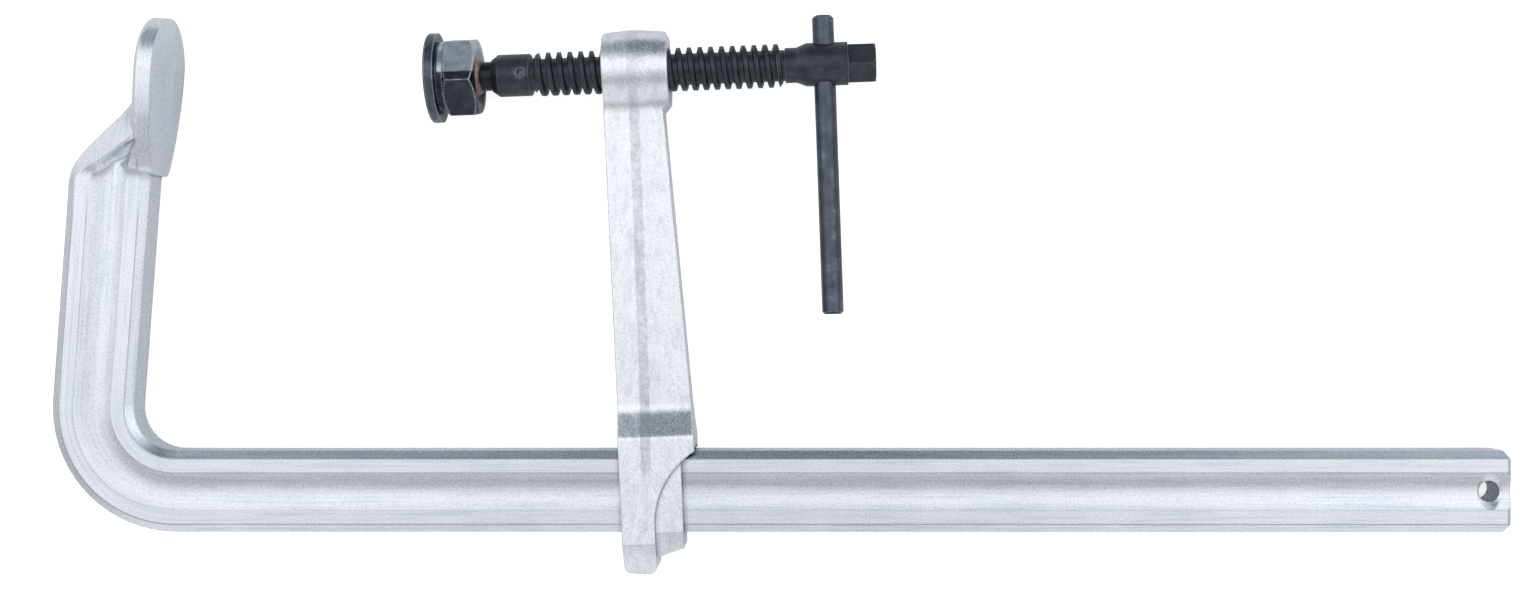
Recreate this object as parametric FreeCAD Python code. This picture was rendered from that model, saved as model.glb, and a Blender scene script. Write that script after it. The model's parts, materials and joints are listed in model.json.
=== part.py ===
import FreeCAD, Part
import math
import os
from FreeCAD import Placement, Rotation, Vector

# Screw clamp, modelled lying on its side. Millimetres and degrees.
# X runs along the rail towards its free end, Y from the rail up to the spindle,
# Z out of the plane of the clamp. The origin is on the fixed jaw's clamping face,
# where that face is widest.

# Rail: a rolled section with a round groove down each broad side
rail_height = 30.0
rail_thickness = 15.0
rail_chamfer_height = 3.0
rail_chamfer_depth = 2.0
groove_width = 13.8
web_thickness = 12.2
rail_reach = 494.0           # jaw face to the free end
rail_end_chamfer_length = 2.4
rail_end_chamfer_height = 3.4
rail_end_bevel_length = 1.4  # on both broad sides
rail_end_bevel_depth = 0.8
bend_inner_radius = 15.5
end_hole_radius = 3.8
end_hole_from_end = 7.6
end_hole_countersink = 0.7   # extra radius at the bottom of the groove
countersink_half_angle = 60.0

# Fixed jaw: the rail's end forged out into an oval plate
throat_depth = 140.0         # rail to the widest line of the jaw
jaw_lean = 4.5               # the leg and its jaw lean in over the rail
jaw_proud = 1.4              # jaw face in front of the leg's inner side
plate_thickness = 7.0
plate_half_width = 17.2
plate_rise = 19.5            # widest line to the top
plate_drop = 38.8            # widest line to the blunt lower end
plate_side_radius = 88.0
plate_foot_corner = 4.5
plate_back_round = 2.4
leg_top = 47.0               # below the widest line, where the plain leg ends
buttress_start = 43.0        # where it begins to spread
buttress_end = 6.0
buttress_front_bevel = 1.0
buttress_cover = 1.2         # how deep the buttress runs into the back of the plate
buttress_levels = (          # height, inset from the plate's outline, the back facet's front
    (-47.0, 0.3, 28.4, 5.5),  # edge behind the jaw face, half the thickness at the back
    (-43.0, 0.3, 28.4, 5.5),
    (-39.0, 0.3, 26.0, 5.6),
    (-35.0, 0.3, 19.4, 6.2),
    (-30.0, 0.3, 13.1, 7.2),
    (-26.0, 0.6, 8.4, 8.2),
    (-20.0, 1.8, 6.6, 9.6),
    (-13.0, 2.2, 6.4, 10.8),
    (-6.0, 2.4, 5.2, 11.6),
)
groove_end_path = (          # height, distance behind the face, half the groove's width
    (-51.0, 16.4, 6.9),
    (-47.0, 16.4, 6.9),
    (-43.0, 16.4, 6.9),
    (-39.5, 15.4, 6.0),
    (-36.0, 13.7, 4.9),
    (-33.5, 11.9, 4.0),
    (-31.0, 9.9, 2.9),
    (-29.0, 8.1, 1.9),
    (-26.6, 5.6, 0.4),
)
groove_end_overrun = 3.0     # how far its cutter stands out of the surface

# Sliding arm: a drop forging, parted on a narrow flat stripe down front and back
arm_lean = 2.0               # slack in the window lets the arm lean back this much
forging_draft = 5.0
parting_width = 3.6
parting_offset = -0.5
boss_left = 11.6             # bore centre to the side facing the jaw
boss_right = 12.3
boss_radius = 15.0
boss_corner = 3.6
boss_fillet = 9.0
stem_left_top = 11.9
stem_left_foot = 10.1
stem_right_top = 9.9
stem_right_foot = 17.0
stem_half_depth = 8.6
stem_shoulder_drop = 15.5    # below the bore
boss_foot_drop = 12.5
flare_top = 30.0
flare_bottom = 19.6
head_half_depth = 14.2
head_bevel_height = -18.6
head_foot_height = -30.2
head_foot_half_depth = 8.0
head_foot_right = 1.9
head_foot_corner = 3.0
head_lobe_height = 14.6
head_bevel_bulge = 0.12      # share of the bevel's width by which it bulges
head_curve_middle = (6.6, 4.3)
head_curve_end_height = -9.6
web_half_depth = 12.6
web_right = 12.0
web_bevel_height = -14.8
web_foot_height = -24.6
web_foot_half_depth = 7.6
web_foot_rise = 17.0         # degrees, the web's lower edge rises away from the jaw
web_cover = 2.0              # how far the web runs up into the head
window_side_clearance = 0.35
window_top_clearance = 0.25
window_corner = 1.2

# Spindle: trapezoidal screw with a turned head. The screw is drawn plain, at its outside radius.
thread_major_radius = 8.0
thread_minor_radius = 5.75
thread_end_chamfer = 1.2
thread_start = -37.4         # along the spindle from the middle of the boss
thread_end = 54.3
neck_start = 55.1
bore_clearance = 0.08
head_neck_radius = 6.45
head_neck_end = 59.3
head_radius = 7.95
head_cone_end = 63.0
head_hex_start = 78.2
head_hex_flats = 14.0
head_end = 88.5
head_chamfer = 0.9
collar_radius = 7.75
collar_right = -38.5
collar_left = -50.6
collar_chamfer_end = -53.0
collar_end_radius = 6.0
collar_neck_radius = 6.1
collar_rear_chamfer = 0.5
hex_turn = -8.0

# Ball stud, held in the collar by a grooved pin
stud_shank_radius = 4.5
stud_shank_length = 14.4
stud_clearance = 0.06
stud_end_room = 0.6
stud_neck_radius = 5.35
stud_seat_gap = 0.05
ball_radius = 8.5
ball_centre = -63.3
ball_flat = 6.4
pin_radius = 2.3
pin_bore_radius = 1.2
pin_position = -42.0
pin_groove_depth = 1.2
pin_groove_clearance = 0.1
pin_set_back = 0.15

# Swivel pad: a pressure plate and the hexagon nut that traps the ball
pad_face = -75.9
pad_radius = 16.5
pad_disc_thickness = 3.6
pad_edge_chamfer = 0.6
pad_raised_radius = 12.2
pad_raised_height = 0.8
pad_spigot_radius = 10.0
pad_spigot_end = -62.6
socket_clearance = 0.1
socket_floor_depth = 8.0     # clear of the edge of the ball's flat when the pad swivels
socket_bore_clearance = 0.25
seat_half_angle = 25.0       # the two cones that the ball bears on
nut_washer_radius = 13.4
nut_washer_height = 1.9
nut_flats = 27.0
nut_rear = -57.9
nut_bore_clearance = 0.05
nut_throat_from_ball = 3.9
nut_mouth_radius = 10.5
nut_chamfer_angle = 30.0
nut_rear_inset = 0.4         # the rear face's circle inside the flats
nut_turn = -10.0

# Tommy bar
bar_radius = 4.0
bar_length = 110.2
bar_above_axis = 17.8
bar_position = 69.6
bar_chamfer = 0.9
bar_clearance = 0.08

# Opening shown, from the jaw face to the pad, at the spindle
opening = 97.7

# Worked out from the above
rail_axis_y = -(throat_depth + rail_height / 2)
arm_height = throat_depth + rail_height / 2
bend_radius = bend_inner_radius + rail_height / 2
leg_centre = jaw_proud + rail_height / 2
groove_radius = ((groove_width / 2) ** 2 + ((rail_thickness - web_thickness) / 2) ** 2) / (
    rail_thickness - web_thickness)
groove_axis_z = web_thickness / 2 + groove_radius
boss_x = opening - pad_face * math.cos(math.radians(arm_lean))
arm_x = boss_x + arm_height * math.sin(math.radians(arm_lean))
stem_shoulder_height = arm_height - stem_shoulder_drop

axis_x = Vector(1, 0, 0)
axis_y = Vector(0, 1, 0)
axis_z = Vector(0, 0, 1)
origin = Vector(0, 0, 0)

jaw_frame = Placement(origin, Rotation(axis_z, -jaw_lean))
arm_frame = Placement(Vector(arm_x, rail_axis_y, 0), Rotation(axis_z, arm_lean))
spindle_frame = arm_frame.multiply(Placement(Vector(0, arm_height, 0), Rotation()))


def line(start, end):
    return Part.makeLine(start, end)


def arc(start, middle, end):
    return Part.Arc(start, middle, end).toShape()


def placed(shape, frame):
    result = shape.copy()
    result.Placement = frame.multiply(result.Placement)
    return result


def turned(points):
    """Solid turned about X from a closed outline of (x, radius) points."""
    corners = [Vector(x, r, 0) for x, r in points]
    outline = Part.makePolygon(corners + corners[:1])
    return Part.Face(outline).revolve(origin, axis_x, 360)


def hexagon(flats, start, length, turn):
    """Hexagonal bar along X, with one corner at the given angle from Z."""
    corner_radius = flats / math.sqrt(3)
    corners = []
    for index in range(7):
        angle = math.radians(turn + 60 * index)
        corners.append(Vector(start, corner_radius * math.sin(angle), corner_radius * math.cos(angle)))
    return Part.Face(Part.makePolygon(corners)).extrude(Vector(length, 0, 0))


def round_edges(shape, radius, wanted):
    edges = [edge for edge in shape.Edges if wanted(edge)]
    return shape.makeFillet(radius, edges)


# Rail and fixed jaw

def rail_section():
    """Face of the rail's section in the YZ plane, centred on the X axis."""
    top = rail_height / 2
    side = rail_thickness / 2
    flat = side - rail_chamfer_depth
    shoulder = top - rail_chamfer_height
    groove = groove_width / 2
    web = web_thickness / 2

    def p(y, z):
        return Vector(0, y, z)

    edges = [
        line(p(-top, -flat), p(-top, flat)),
        line(p(-top, flat), p(-shoulder, side)),
        line(p(-shoulder, side), p(-groove, side)),
        arc(p(-groove, side), p(0, web), p(groove, side)),
        line(p(groove, side), p(shoulder, side)),
        line(p(shoulder, side), p(top, flat)),
        line(p(top, flat), p(top, -flat)),
        line(p(top, -flat), p(shoulder, -side)),
        line(p(shoulder, -side), p(groove, -side)),
        arc(p(groove, -side), p(0, -web), p(-groove, -side)),
        line(p(-groove, -side), p(-shoulder, -side)),
        line(p(-shoulder, -side), p(-top, -flat)),
    ]
    return Part.Face(Part.Wire(edges))


def rail_bar():
    """Straight rail, bend and leg, up to where the leg begins to spread."""
    lean = math.radians(jaw_lean)
    bend_y = rail_axis_y + bend_radius
    bend_x = (bend_radius - leg_centre + bend_y * math.sin(lean)) / math.cos(lean)
    bend_centre = Vector(bend_x, bend_y, 0)
    section = rail_section()
    section.translate(Vector(bend_x, rail_axis_y, 0))
    straight = section.extrude(Vector(rail_reach - bend_x, 0, 0))
    bend = section.revolve(bend_centre, axis_z, -(90 + jaw_lean))
    leg_section = section.copy()
    leg_section.rotate(bend_centre, axis_z, -(90 + jaw_lean))
    up_leg = Vector(math.sin(lean), math.cos(lean), 0)
    leg_length = -leg_top - bend_centre.dot(up_leg)
    leg = leg_section.extrude(up_leg * leg_length)
    return straight.fuse([bend, leg])


def plate_half_width_at(y):
    """Half the plate's width at a height below its widest line."""
    return plate_half_width - plate_side_radius + math.sqrt(plate_side_radius ** 2 - y ** 2)


def buttress_half_width(y, inset):
    return max(rail_thickness / 2, plate_half_width_at(y) - inset)


def buttress_section(y, inset, facet_behind, back_half):
    """Outline across the spreading leg at one height."""
    share = max(0, (y + buttress_start) / (buttress_start - buttress_end))
    blend = share * share * (3 - 2 * share)

    def between(first, last):
        return first + (last - first) * blend

    half = buttress_half_width(y, inset)
    back = between(-(jaw_proud + rail_height), -(plate_thickness - buttress_cover))
    front = -jaw_proud
    front_cut = between(rail_chamfer_height, buttress_front_bevel)
    front_flat = half - rail_chamfer_depth
    corners = [
        Vector(front, y, -front_flat),
        Vector(front, y, front_flat),
        Vector(front - front_cut, y, half),
        Vector(-facet_behind, y, half),
        Vector(back, y, back_half),
        Vector(back, y, -back_half),
        Vector(-facet_behind, y, -half),
        Vector(front - front_cut, y, -half),
    ]
    return Part.makePolygon(corners + corners[:1])


def groove_end(side):
    """Cutter for the groove's end, which narrows and swings towards the plate."""
    inset = buttress_levels[0][1]
    rings = []
    for y, behind, half in groove_end_path:
        surface = buttress_half_width(y, inset)
        depth = min(surface - web_thickness / 2, half)
        radius = (half ** 2 + depth ** 2) / (2 * depth)
        spread = half + groove_end_overrun * (radius - depth) / half
        back = Vector(-behind - half, y, side * surface)
        front = Vector(-behind + half, y, side * surface)
        bottom = Vector(-behind, y, side * (surface - depth))
        outer_back = Vector(-behind - spread, y, side * (surface + groove_end_overrun))
        outer_front = Vector(-behind + spread, y, side * (surface + groove_end_overrun))
        rings.append(Part.Wire([
            arc(back, bottom, front),
            line(front, outer_front),
            line(outer_front, outer_back),
            line(outer_back, back),
        ]))
    return Part.makeLoft(rings, True, False)


def jaw_plate():
    """Oval plate with a rounded back edge, its face at x = 0."""
    side_centre = plate_half_width - plate_side_radius
    to_corner = plate_side_radius - plate_foot_corner
    corner_y = -(plate_drop - plate_foot_corner)
    corner_z = side_centre + math.sqrt(to_corner ** 2 - corner_y ** 2)
    swing = math.asin(-corner_y / to_corner)

    def p(y, z):
        return Vector(-plate_thickness, y, z)

    def on_side(angle, s):
        return p(-plate_side_radius * math.sin(angle),
                 s * (side_centre + plate_side_radius * math.cos(angle)))

    def on_corner(angle, s):
        return p(corner_y - plate_foot_corner * math.sin(angle),
                 s * (corner_z + plate_foot_corner * math.cos(angle)))

    crown = Part.Ellipse(p(plate_rise, 0), p(0, plate_half_width), p(0, 0))
    edges = [Part.Arc(crown, -math.pi / 2, math.pi / 2).toShape()]
    for s in (1, -1):
        edges.append(arc(on_side(0, s), on_side(swing / 2, s), on_side(swing, s)))
        edges.append(arc(on_side(swing, s), on_corner((swing + math.pi / 2) / 2, s),
                         on_corner(math.pi / 2, s)))
    edges.append(line(on_corner(math.pi / 2, 1), on_corner(math.pi / 2, -1)))
    outline = Part.Wire(Part.__sortEdges__(edges))
    plate = Part.Face(outline).extrude(Vector(plate_thickness, 0, 0))
    return round_edges(plate, plate_back_round, lambda e: e.BoundBox.XMax < 0.01 - plate_thickness)


def rail_with_jaw():
    buttress = Part.makeLoft([buttress_section(*level) for level in buttress_levels], True, False)
    jaw = buttress.fuse(jaw_plate()).cut([groove_end(1), groove_end(-1)])
    body = rail_bar().fuse(placed(jaw, jaw_frame))
    hole_x = rail_reach - end_hole_from_end
    hole_start = Vector(hole_x, rail_axis_y, -rail_thickness)
    cutters = [Part.makeCylinder(end_hole_radius, 2 * rail_thickness, hole_start, axis_z)]
    sink_slope = math.tan(math.radians(countersink_half_angle))
    sink_depth = end_hole_countersink / sink_slope
    sink_height = sink_depth + rail_thickness / 2
    for side in (1, -1):
        start = Vector(hole_x, rail_axis_y, side * (web_thickness / 2 - sink_depth))
        sink = Part.makeCone(end_hole_radius, end_hole_radius + sink_height * sink_slope, sink_height,
                             start, axis_z * side)
        cutters.append(sink)
    for side in (1, -1):
        edge_y = rail_axis_y + side * rail_height / 2
        corner = [
            Vector(rail_reach, edge_y, -rail_thickness),
            Vector(rail_reach - rail_end_chamfer_length, edge_y, -rail_thickness),
            Vector(rail_reach, edge_y - side * rail_end_chamfer_height, -rail_thickness),
        ]
        wedge = Part.Face(Part.makePolygon(corner + corner[:1])).extrude(axis_z * 2 * rail_thickness)
        cutters.append(wedge)
    for side in (1, -1):
        face_z = side * rail_thickness / 2
        corner = [
            Vector(rail_reach, rail_axis_y - rail_height, face_z),
            Vector(rail_reach - rail_end_bevel_length, rail_axis_y - rail_height, face_z),
            Vector(rail_reach, rail_axis_y - rail_height, face_z - side * rail_end_bevel_depth),
        ]
        wedge = Part.Face(Part.makePolygon(corner + corner[:1])).extrude(axis_y * 2 * rail_height)
        cutters.append(wedge)
    return body.cut(cutters).removeSplitter()


# Sliding arm

def side_profile(x, inset):
    """Outline of the arm seen along the rail, in the plane at x, drawn in by inset."""
    boss = boss_radius - inset
    stem = stem_half_depth - inset
    head = head_half_depth - inset
    foot = head_foot_half_depth - inset
    bottom = head_foot_height + inset
    reach = boss + boss_fillet
    fillet_z = stem + boss_fillet
    fillet_y = arm_height - math.sqrt(reach ** 2 - fillet_z ** 2)
    turn = math.atan2(fillet_z, arm_height - fillet_y)
    swing = (math.pi / 2 - turn) / 2
    step = head - stem
    run = flare_top - flare_bottom
    radius = (run ** 2 + step ** 2) / (4 * step)
    half_sweep = math.atan2(step, run)
    halfway = (flare_top + flare_bottom) / 2

    def p(y, z):
        return Vector(x, y, z)

    def half(s):
        on_boss = p(arm_height - boss * math.cos(turn), s * boss * math.sin(turn))
        fillet_angle = math.pi / 2 - swing
        on_fillet = p(fillet_y + boss_fillet * math.cos(fillet_angle),
                      s * (fillet_z - boss_fillet * math.sin(fillet_angle)))
        inner_bend = p(flare_top - radius * math.sin(half_sweep),
                       s * (stem + radius * (1 - math.cos(half_sweep))))
        outer_bend = p(flare_bottom + radius * math.sin(half_sweep),
                       s * (head - radius * (1 - math.cos(half_sweep))))
        bevel_bulge = p((head_bevel_height + bottom) / 2,
                        s * ((head + foot) / 2 + head_bevel_bulge * (head - foot)))
        return [
            arc(p(arm_height + boss, 0), p(arm_height, s * boss), on_boss),
            arc(on_boss, on_fillet, p(fillet_y, s * stem)),
            line(p(fillet_y, s * stem), p(flare_top, s * stem)),
            arc(p(flare_top, s * stem), inner_bend, p(halfway, s * (stem + head) / 2)),
            arc(p(halfway, s * (stem + head) / 2), outer_bend, p(flare_bottom, s * head)),
            line(p(flare_bottom, s * head), p(head_bevel_height, s * head)),
            arc(p(head_bevel_height, s * head), bevel_bulge, p(bottom, s * foot)),
        ]

    front = half(1)
    back = half(-1)
    across = [line(p(bottom, foot), p(bottom, -foot))]
    return Part.Wire(front + across + back[::-1])


def web_profile(x, inset):
    """The same for the thinner web beside the lower head."""
    side = web_half_depth - inset
    foot = web_foot_half_depth - inset
    top = flare_bottom + web_cover
    low = web_foot_height - web_right * math.tan(math.radians(web_foot_rise))
    corners = [
        Vector(x, top, side),
        Vector(x, web_bevel_height, side),
        Vector(x, low, foot),
        Vector(x, low, -foot),
        Vector(x, web_bevel_height, -side),
        Vector(x, top, -side),
    ]
    return Part.makePolygon(corners + corners[:1])


def drafted(profile, left, right):
    """Solid with a flat parting stripe and sides that draw in at the draft angle."""
    slope = math.tan(math.radians(forging_draft))
    stripe_left = parting_offset - parting_width / 2
    stripe_right = parting_offset + parting_width / 2
    pieces = [Part.Face(profile(stripe_left, 0)).extrude(Vector(parting_width, 0, 0))]
    for start, end in ((stripe_left, left), (stripe_right, right)):
        inset = abs(end - start) * slope
        pieces.append(Part.makeLoft([profile(start, 0), profile(end, inset)], True, True))
    return pieces[0].fuse(pieces[1:])


def arm_outline():
    """Outline of the arm in the plane of the clamp, without the lower web."""
    boss_top = arm_height + boss_radius
    boss_foot = arm_height - boss_foot_drop
    corner = boss_corner * (1 - math.sqrt(0.5))
    foot_corner = head_foot_corner * (1 - math.sqrt(0.5))

    def p(x, y):
        return Vector(x, y, 0)

    edges = [
        line(p(-stem_left_foot, head_foot_height + head_foot_corner), p(-stem_left_top, stem_shoulder_height)),
        line(p(-stem_left_top, stem_shoulder_height), p(-boss_left, boss_foot)),
        line(p(-boss_left, boss_foot), p(-boss_left, boss_top - boss_corner)),
        arc(p(-boss_left, boss_top - boss_corner), p(-boss_left + corner, boss_top - corner),
            p(-boss_left + boss_corner, boss_top)),
        line(p(-boss_left + boss_corner, boss_top), p(boss_right - boss_corner, boss_top)),
        arc(p(boss_right - boss_corner, boss_top), p(boss_right - corner, boss_top - corner),
            p(boss_right, boss_top - boss_corner)),
        line(p(boss_right, boss_top - boss_corner), p(boss_right, boss_foot)),
        line(p(boss_right, boss_foot), p(stem_right_top, stem_shoulder_height)),
        line(p(stem_right_top, stem_shoulder_height), p(stem_right_foot, flare_bottom)),
        line(p(stem_right_foot, flare_bottom), p(stem_right_foot, head_lobe_height)),
        arc(p(stem_right_foot, head_lobe_height), p(*head_curve_middle),
            p(head_foot_right, head_curve_end_height)),
        line(p(head_foot_right, head_curve_end_height),
             p(head_foot_right, head_foot_height + head_foot_corner)),
        arc(p(head_foot_right, head_foot_height + head_foot_corner),
            p(head_foot_right - foot_corner, head_foot_height + foot_corner),
            p(head_foot_right - head_foot_corner, head_foot_height)),
        line(p(head_foot_right - head_foot_corner, head_foot_height),
             p(-stem_left_foot + head_foot_corner, head_foot_height)),
        arc(p(-stem_left_foot + head_foot_corner, head_foot_height),
            p(-stem_left_foot + foot_corner, head_foot_height + foot_corner),
            p(-stem_left_foot, head_foot_height + head_foot_corner)),
    ]
    return Part.Wire(edges)


def web_outline():
    slope = math.tan(math.radians(web_foot_rise))
    top = flare_bottom + web_cover
    corners = [
        Vector(-stem_left_foot / 2, top, 0),
        Vector(-stem_left_foot / 2, web_foot_height - stem_left_foot / 2 * slope, 0),
        Vector(web_right, web_foot_height + web_right * slope, 0),
        Vector(web_right, top, 0),
    ]
    return Part.makePolygon(corners + corners[:1])


def through(outline):
    depth = 2 * boss_radius
    face = Part.Face(outline)
    face.translate(Vector(0, 0, -depth))
    return face.extrude(Vector(0, 0, 2 * depth))


def window():
    """The rail's window: high enough for the rail to lie across it at the arm's lean."""
    lean = math.radians(arm_lean)
    half = rail_height / 2 / math.cos(lean)
    top = half + stem_left_top * math.tan(lean) + window_top_clearance
    bottom = -(half + web_right * math.tan(lean) + window_top_clearance)
    side = rail_thickness / 2 + window_side_clearance
    length = 4 * stem_right_foot
    box = Part.makeBox(length, top - bottom, 2 * side, Vector(-length / 2, bottom, -side))
    return round_edges(box, window_corner, lambda e: abs(e.BoundBox.XLength - length) < 0.01)


def sliding_arm():
    reach = stem_right_foot + 1.0
    main = drafted(side_profile, -reach, reach).common(through(arm_outline()))
    web = drafted(web_profile, -reach, reach).common(through(web_outline()))
    body = main.fuse(web).removeSplitter()
    bore = Part.makeCylinder(thread_major_radius + bore_clearance, 4 * boss_radius,
                             Vector(-2 * boss_radius, arm_height, 0), axis_x)
    return body.cut([window(), bore])


# Spindle and what it carries

def spindle():
    body = turned([
        (collar_chamfer_end, 0),
        (collar_chamfer_end, collar_end_radius),
        (collar_left, collar_radius),
        (collar_right - collar_rear_chamfer, collar_radius),
        (collar_right, collar_radius - collar_rear_chamfer),
        (collar_right, collar_neck_radius),
        (thread_start, collar_neck_radius),
        (thread_start, thread_major_radius - thread_end_chamfer),
        (thread_start + thread_end_chamfer, thread_major_radius),
        (thread_end - thread_end_chamfer, thread_major_radius),
        (thread_end, thread_major_radius - thread_end_chamfer),
        (thread_end, thread_minor_radius),
        (neck_start, thread_minor_radius),
        (neck_start, head_neck_radius),
        (head_neck_end, head_neck_radius),
        (head_cone_end, head_radius),
        (head_end - head_chamfer, head_radius),
        (head_end, head_radius - head_chamfer),
        (head_end, 0),
    ])
    hex_length = head_end - head_hex_start
    ring = Part.makeCylinder(2 * head_radius, hex_length, Vector(head_hex_start, 0, 0), axis_x)
    flats = ring.cut(hexagon(head_hex_flats, head_hex_start, hex_length, hex_turn))
    bar_hole = Part.makeCylinder(bar_radius + bar_clearance, 4 * head_radius,
                                 Vector(bar_position, -2 * head_radius, 0), axis_y)
    shank_bore = Part.makeCylinder(stud_shank_radius + stud_clearance, stud_shank_length + stud_end_room,
                                   Vector(collar_chamfer_end, 0, 0), axis_x)
    pin_hole = Part.makeCylinder(pin_radius, 2 * collar_radius, Vector(pin_position, 0, 0), axis_z)
    return body.cut([flats, bar_hole, shank_bore, pin_hole])


def ball_stud():
    """Ball, neck and shank, with the ring groove that the pin's tip runs in."""
    neck_start = ball_centre + math.sqrt(ball_radius ** 2 - stud_neck_radius ** 2)
    shoulder = collar_chamfer_end - stud_seat_gap
    shank_end = collar_chamfer_end + stud_shank_length
    groove_left = pin_position - pin_radius - pin_groove_clearance
    groove_right = pin_position + pin_radius + pin_groove_clearance
    groove_floor = stud_shank_radius - pin_groove_depth
    shank_top = stud_shank_radius
    flat_x = ball_centre - ball_flat
    flat_radius = math.sqrt(ball_radius ** 2 - ball_flat ** 2)
    corners = [
        (neck_start, stud_neck_radius),
        (shoulder, stud_neck_radius),
        (shoulder, shank_top),
        (groove_left, shank_top),
        (groove_left, groove_floor),
        (groove_right, groove_floor),
        (groove_right, shank_top),
        (shank_end, shank_top),
        (shank_end, 0),
        (flat_x, 0),
        (flat_x, flat_radius),
    ]
    points = [Vector(x, r, 0) for x, r in corners]
    edges = [line(a, b) for a, b in zip(points, points[1:])]
    edges.append(arc(points[-1], Vector(ball_centre, ball_radius, 0), points[0]))
    return Part.Face(Part.Wire(edges)).revolve(origin, axis_x, 360)


def stud_pin():
    """Hollow pin through the collar's wall, its tip in the stud's groove."""
    floor = stud_shank_radius - pin_groove_depth + pin_groove_clearance
    top = collar_radius - pin_set_back
    start = Vector(pin_position, 0, floor)
    pin = Part.makeCylinder(pin_radius, top - floor, start, axis_z)
    return pin.cut(Part.makeCylinder(pin_bore_radius, top, Vector(pin_position, 0, floor - 1), axis_z))


def pressure_plate():
    """Disc, raised seat and spigot, with the spherical socket for the ball."""
    rear = pad_face + pad_disc_thickness
    seat = rear + pad_raised_height
    body = turned([
        (pad_face, 0),
        (pad_face, pad_radius - pad_edge_chamfer),
        (pad_face + pad_edge_chamfer, pad_radius),
        (rear, pad_radius),
        (rear, pad_raised_radius),
        (seat, pad_raised_radius),
        (seat, pad_spigot_radius),
        (pad_spigot_end, pad_spigot_radius),
        (pad_spigot_end, 0),
    ])
    return body.cut(socket())


def socket():
    """The ball's room: a bore between two cones that touch a ball larger by the clearance."""
    slope = math.tan(math.radians(seat_half_angle))
    apex = (ball_radius + socket_clearance) / math.sin(math.radians(seat_half_angle))
    bore = ball_radius + socket_bore_clearance
    bore_half = apex - bore / slope
    return turned([
        (ball_centre - socket_floor_depth, 0),
        (ball_centre - socket_floor_depth, (apex - socket_floor_depth) * slope),
        (ball_centre - bore_half, bore),
        (ball_centre + bore_half, bore),
        (ball_centre + nut_throat_from_ball, (apex - nut_throat_from_ball) * slope),
        (nut_rear, nut_mouth_radius),
        (nut_rear, 0),
    ])


def pad_nut():
    """Hexagon nut with a round seat, a conical lip behind the ball and a wide mouth."""
    front = pad_face + pad_disc_thickness + pad_raised_height
    hex_start = front + nut_washer_height
    corner = nut_flats / math.sqrt(3)
    face_circle = nut_flats / 2 - nut_rear_inset
    chamfer = (corner - face_circle) * math.tan(math.radians(nut_chamfer_angle))
    crown = turned([
        (hex_start, 0),
        (hex_start, face_circle),
        (hex_start + chamfer, corner),
        (nut_rear - chamfer, corner),
        (nut_rear, face_circle),
        (nut_rear, 0),
    ])
    body = hexagon(nut_flats, hex_start, nut_rear - hex_start, nut_turn).common(crown)
    washer = Part.makeCylinder(nut_washer_radius, nut_washer_height, Vector(front, 0, 0), axis_x)
    bore = Part.makeCylinder(pad_spigot_radius + nut_bore_clearance, pad_spigot_end - front,
                             Vector(front, 0, 0), axis_x)
    return body.fuse(washer).cut([bore, socket()])


def tommy_bar():
    top = bar_above_axis
    bottom = bar_above_axis - bar_length
    bar = Part.makeCylinder(bar_radius, bar_length, Vector(bar_position, bottom, 0), axis_y)
    return bar.makeChamfer(bar_chamfer, [e for e in bar.Edges if e.BoundBox.YLength < 0.01])


nodes = {
    "rail_with_fixed_jaw": rail_with_jaw(),
    "sliding_arm": placed(sliding_arm(), arm_frame),
    "spindle": placed(spindle(), spindle_frame),
    "ball_stud": placed(ball_stud(), spindle_frame),
    "stud_pin": placed(stud_pin(), spindle_frame),
    "pressure_plate": placed(pressure_plate(), spindle_frame),
    "pad_nut": placed(pad_nut(), spindle_frame),
    "tommy_bar": placed(tommy_bar(), spindle_frame),
}

os.makedirs("parts", exist_ok=True)
for name, shape in nodes.items():
    shape.exportStep("parts/" + name + ".step")
    box = shape.BoundBox
    print(name, "solids", len(shape.Solids), "valid", shape.isValid(), "volume", round(shape.Volume, 1),
          "x", round(box.XMin, 2), round(box.XMax, 2), "y", round(box.YMin, 2), round(box.YMax, 2),
          "z", round(box.ZMin, 2), round(box.ZMax, 2))
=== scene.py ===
import json
import math

import bmesh
import bpy
from mathutils import Euler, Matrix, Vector


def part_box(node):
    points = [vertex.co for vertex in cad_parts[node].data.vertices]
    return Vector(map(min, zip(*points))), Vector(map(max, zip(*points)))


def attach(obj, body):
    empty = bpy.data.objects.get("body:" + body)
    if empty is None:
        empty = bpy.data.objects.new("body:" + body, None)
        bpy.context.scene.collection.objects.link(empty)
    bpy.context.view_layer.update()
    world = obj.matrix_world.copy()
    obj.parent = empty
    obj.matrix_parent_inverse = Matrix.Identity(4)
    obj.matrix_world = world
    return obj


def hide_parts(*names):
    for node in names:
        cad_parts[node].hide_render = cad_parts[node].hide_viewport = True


# Lengths are in metres and angles in degrees, unless a name says otherwise.
MM = 0.001
WHITE = (1.0, 1.0, 1.0)

# Screw thread of the spindle: ends along its axis from the middle of the arm's boss, then the
# sizes of its profile by radius
THREAD_START = -37.4 * MM
THREAD_END = 54.3 * MM
THREAD_PITCH = 4.0 * MM
THREAD_PHASE = 1.8 * MM
THREAD_MAJOR = 8.0 * MM
THREAD_MINOR = 5.75 * MM
THREAD_NECK = 6.1 * MM
THREAD_CREST_SHARE = 0.366
THREAD_FLANK_ANGLE = 15.0
THREAD_EDGE_ROUND = 0.12 * MM
THREAD_LEAD_IN = 1.2 * MM
THREAD_LEAD_IN_RISE = 0.4
THREAD_SEGMENTS = 96

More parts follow.
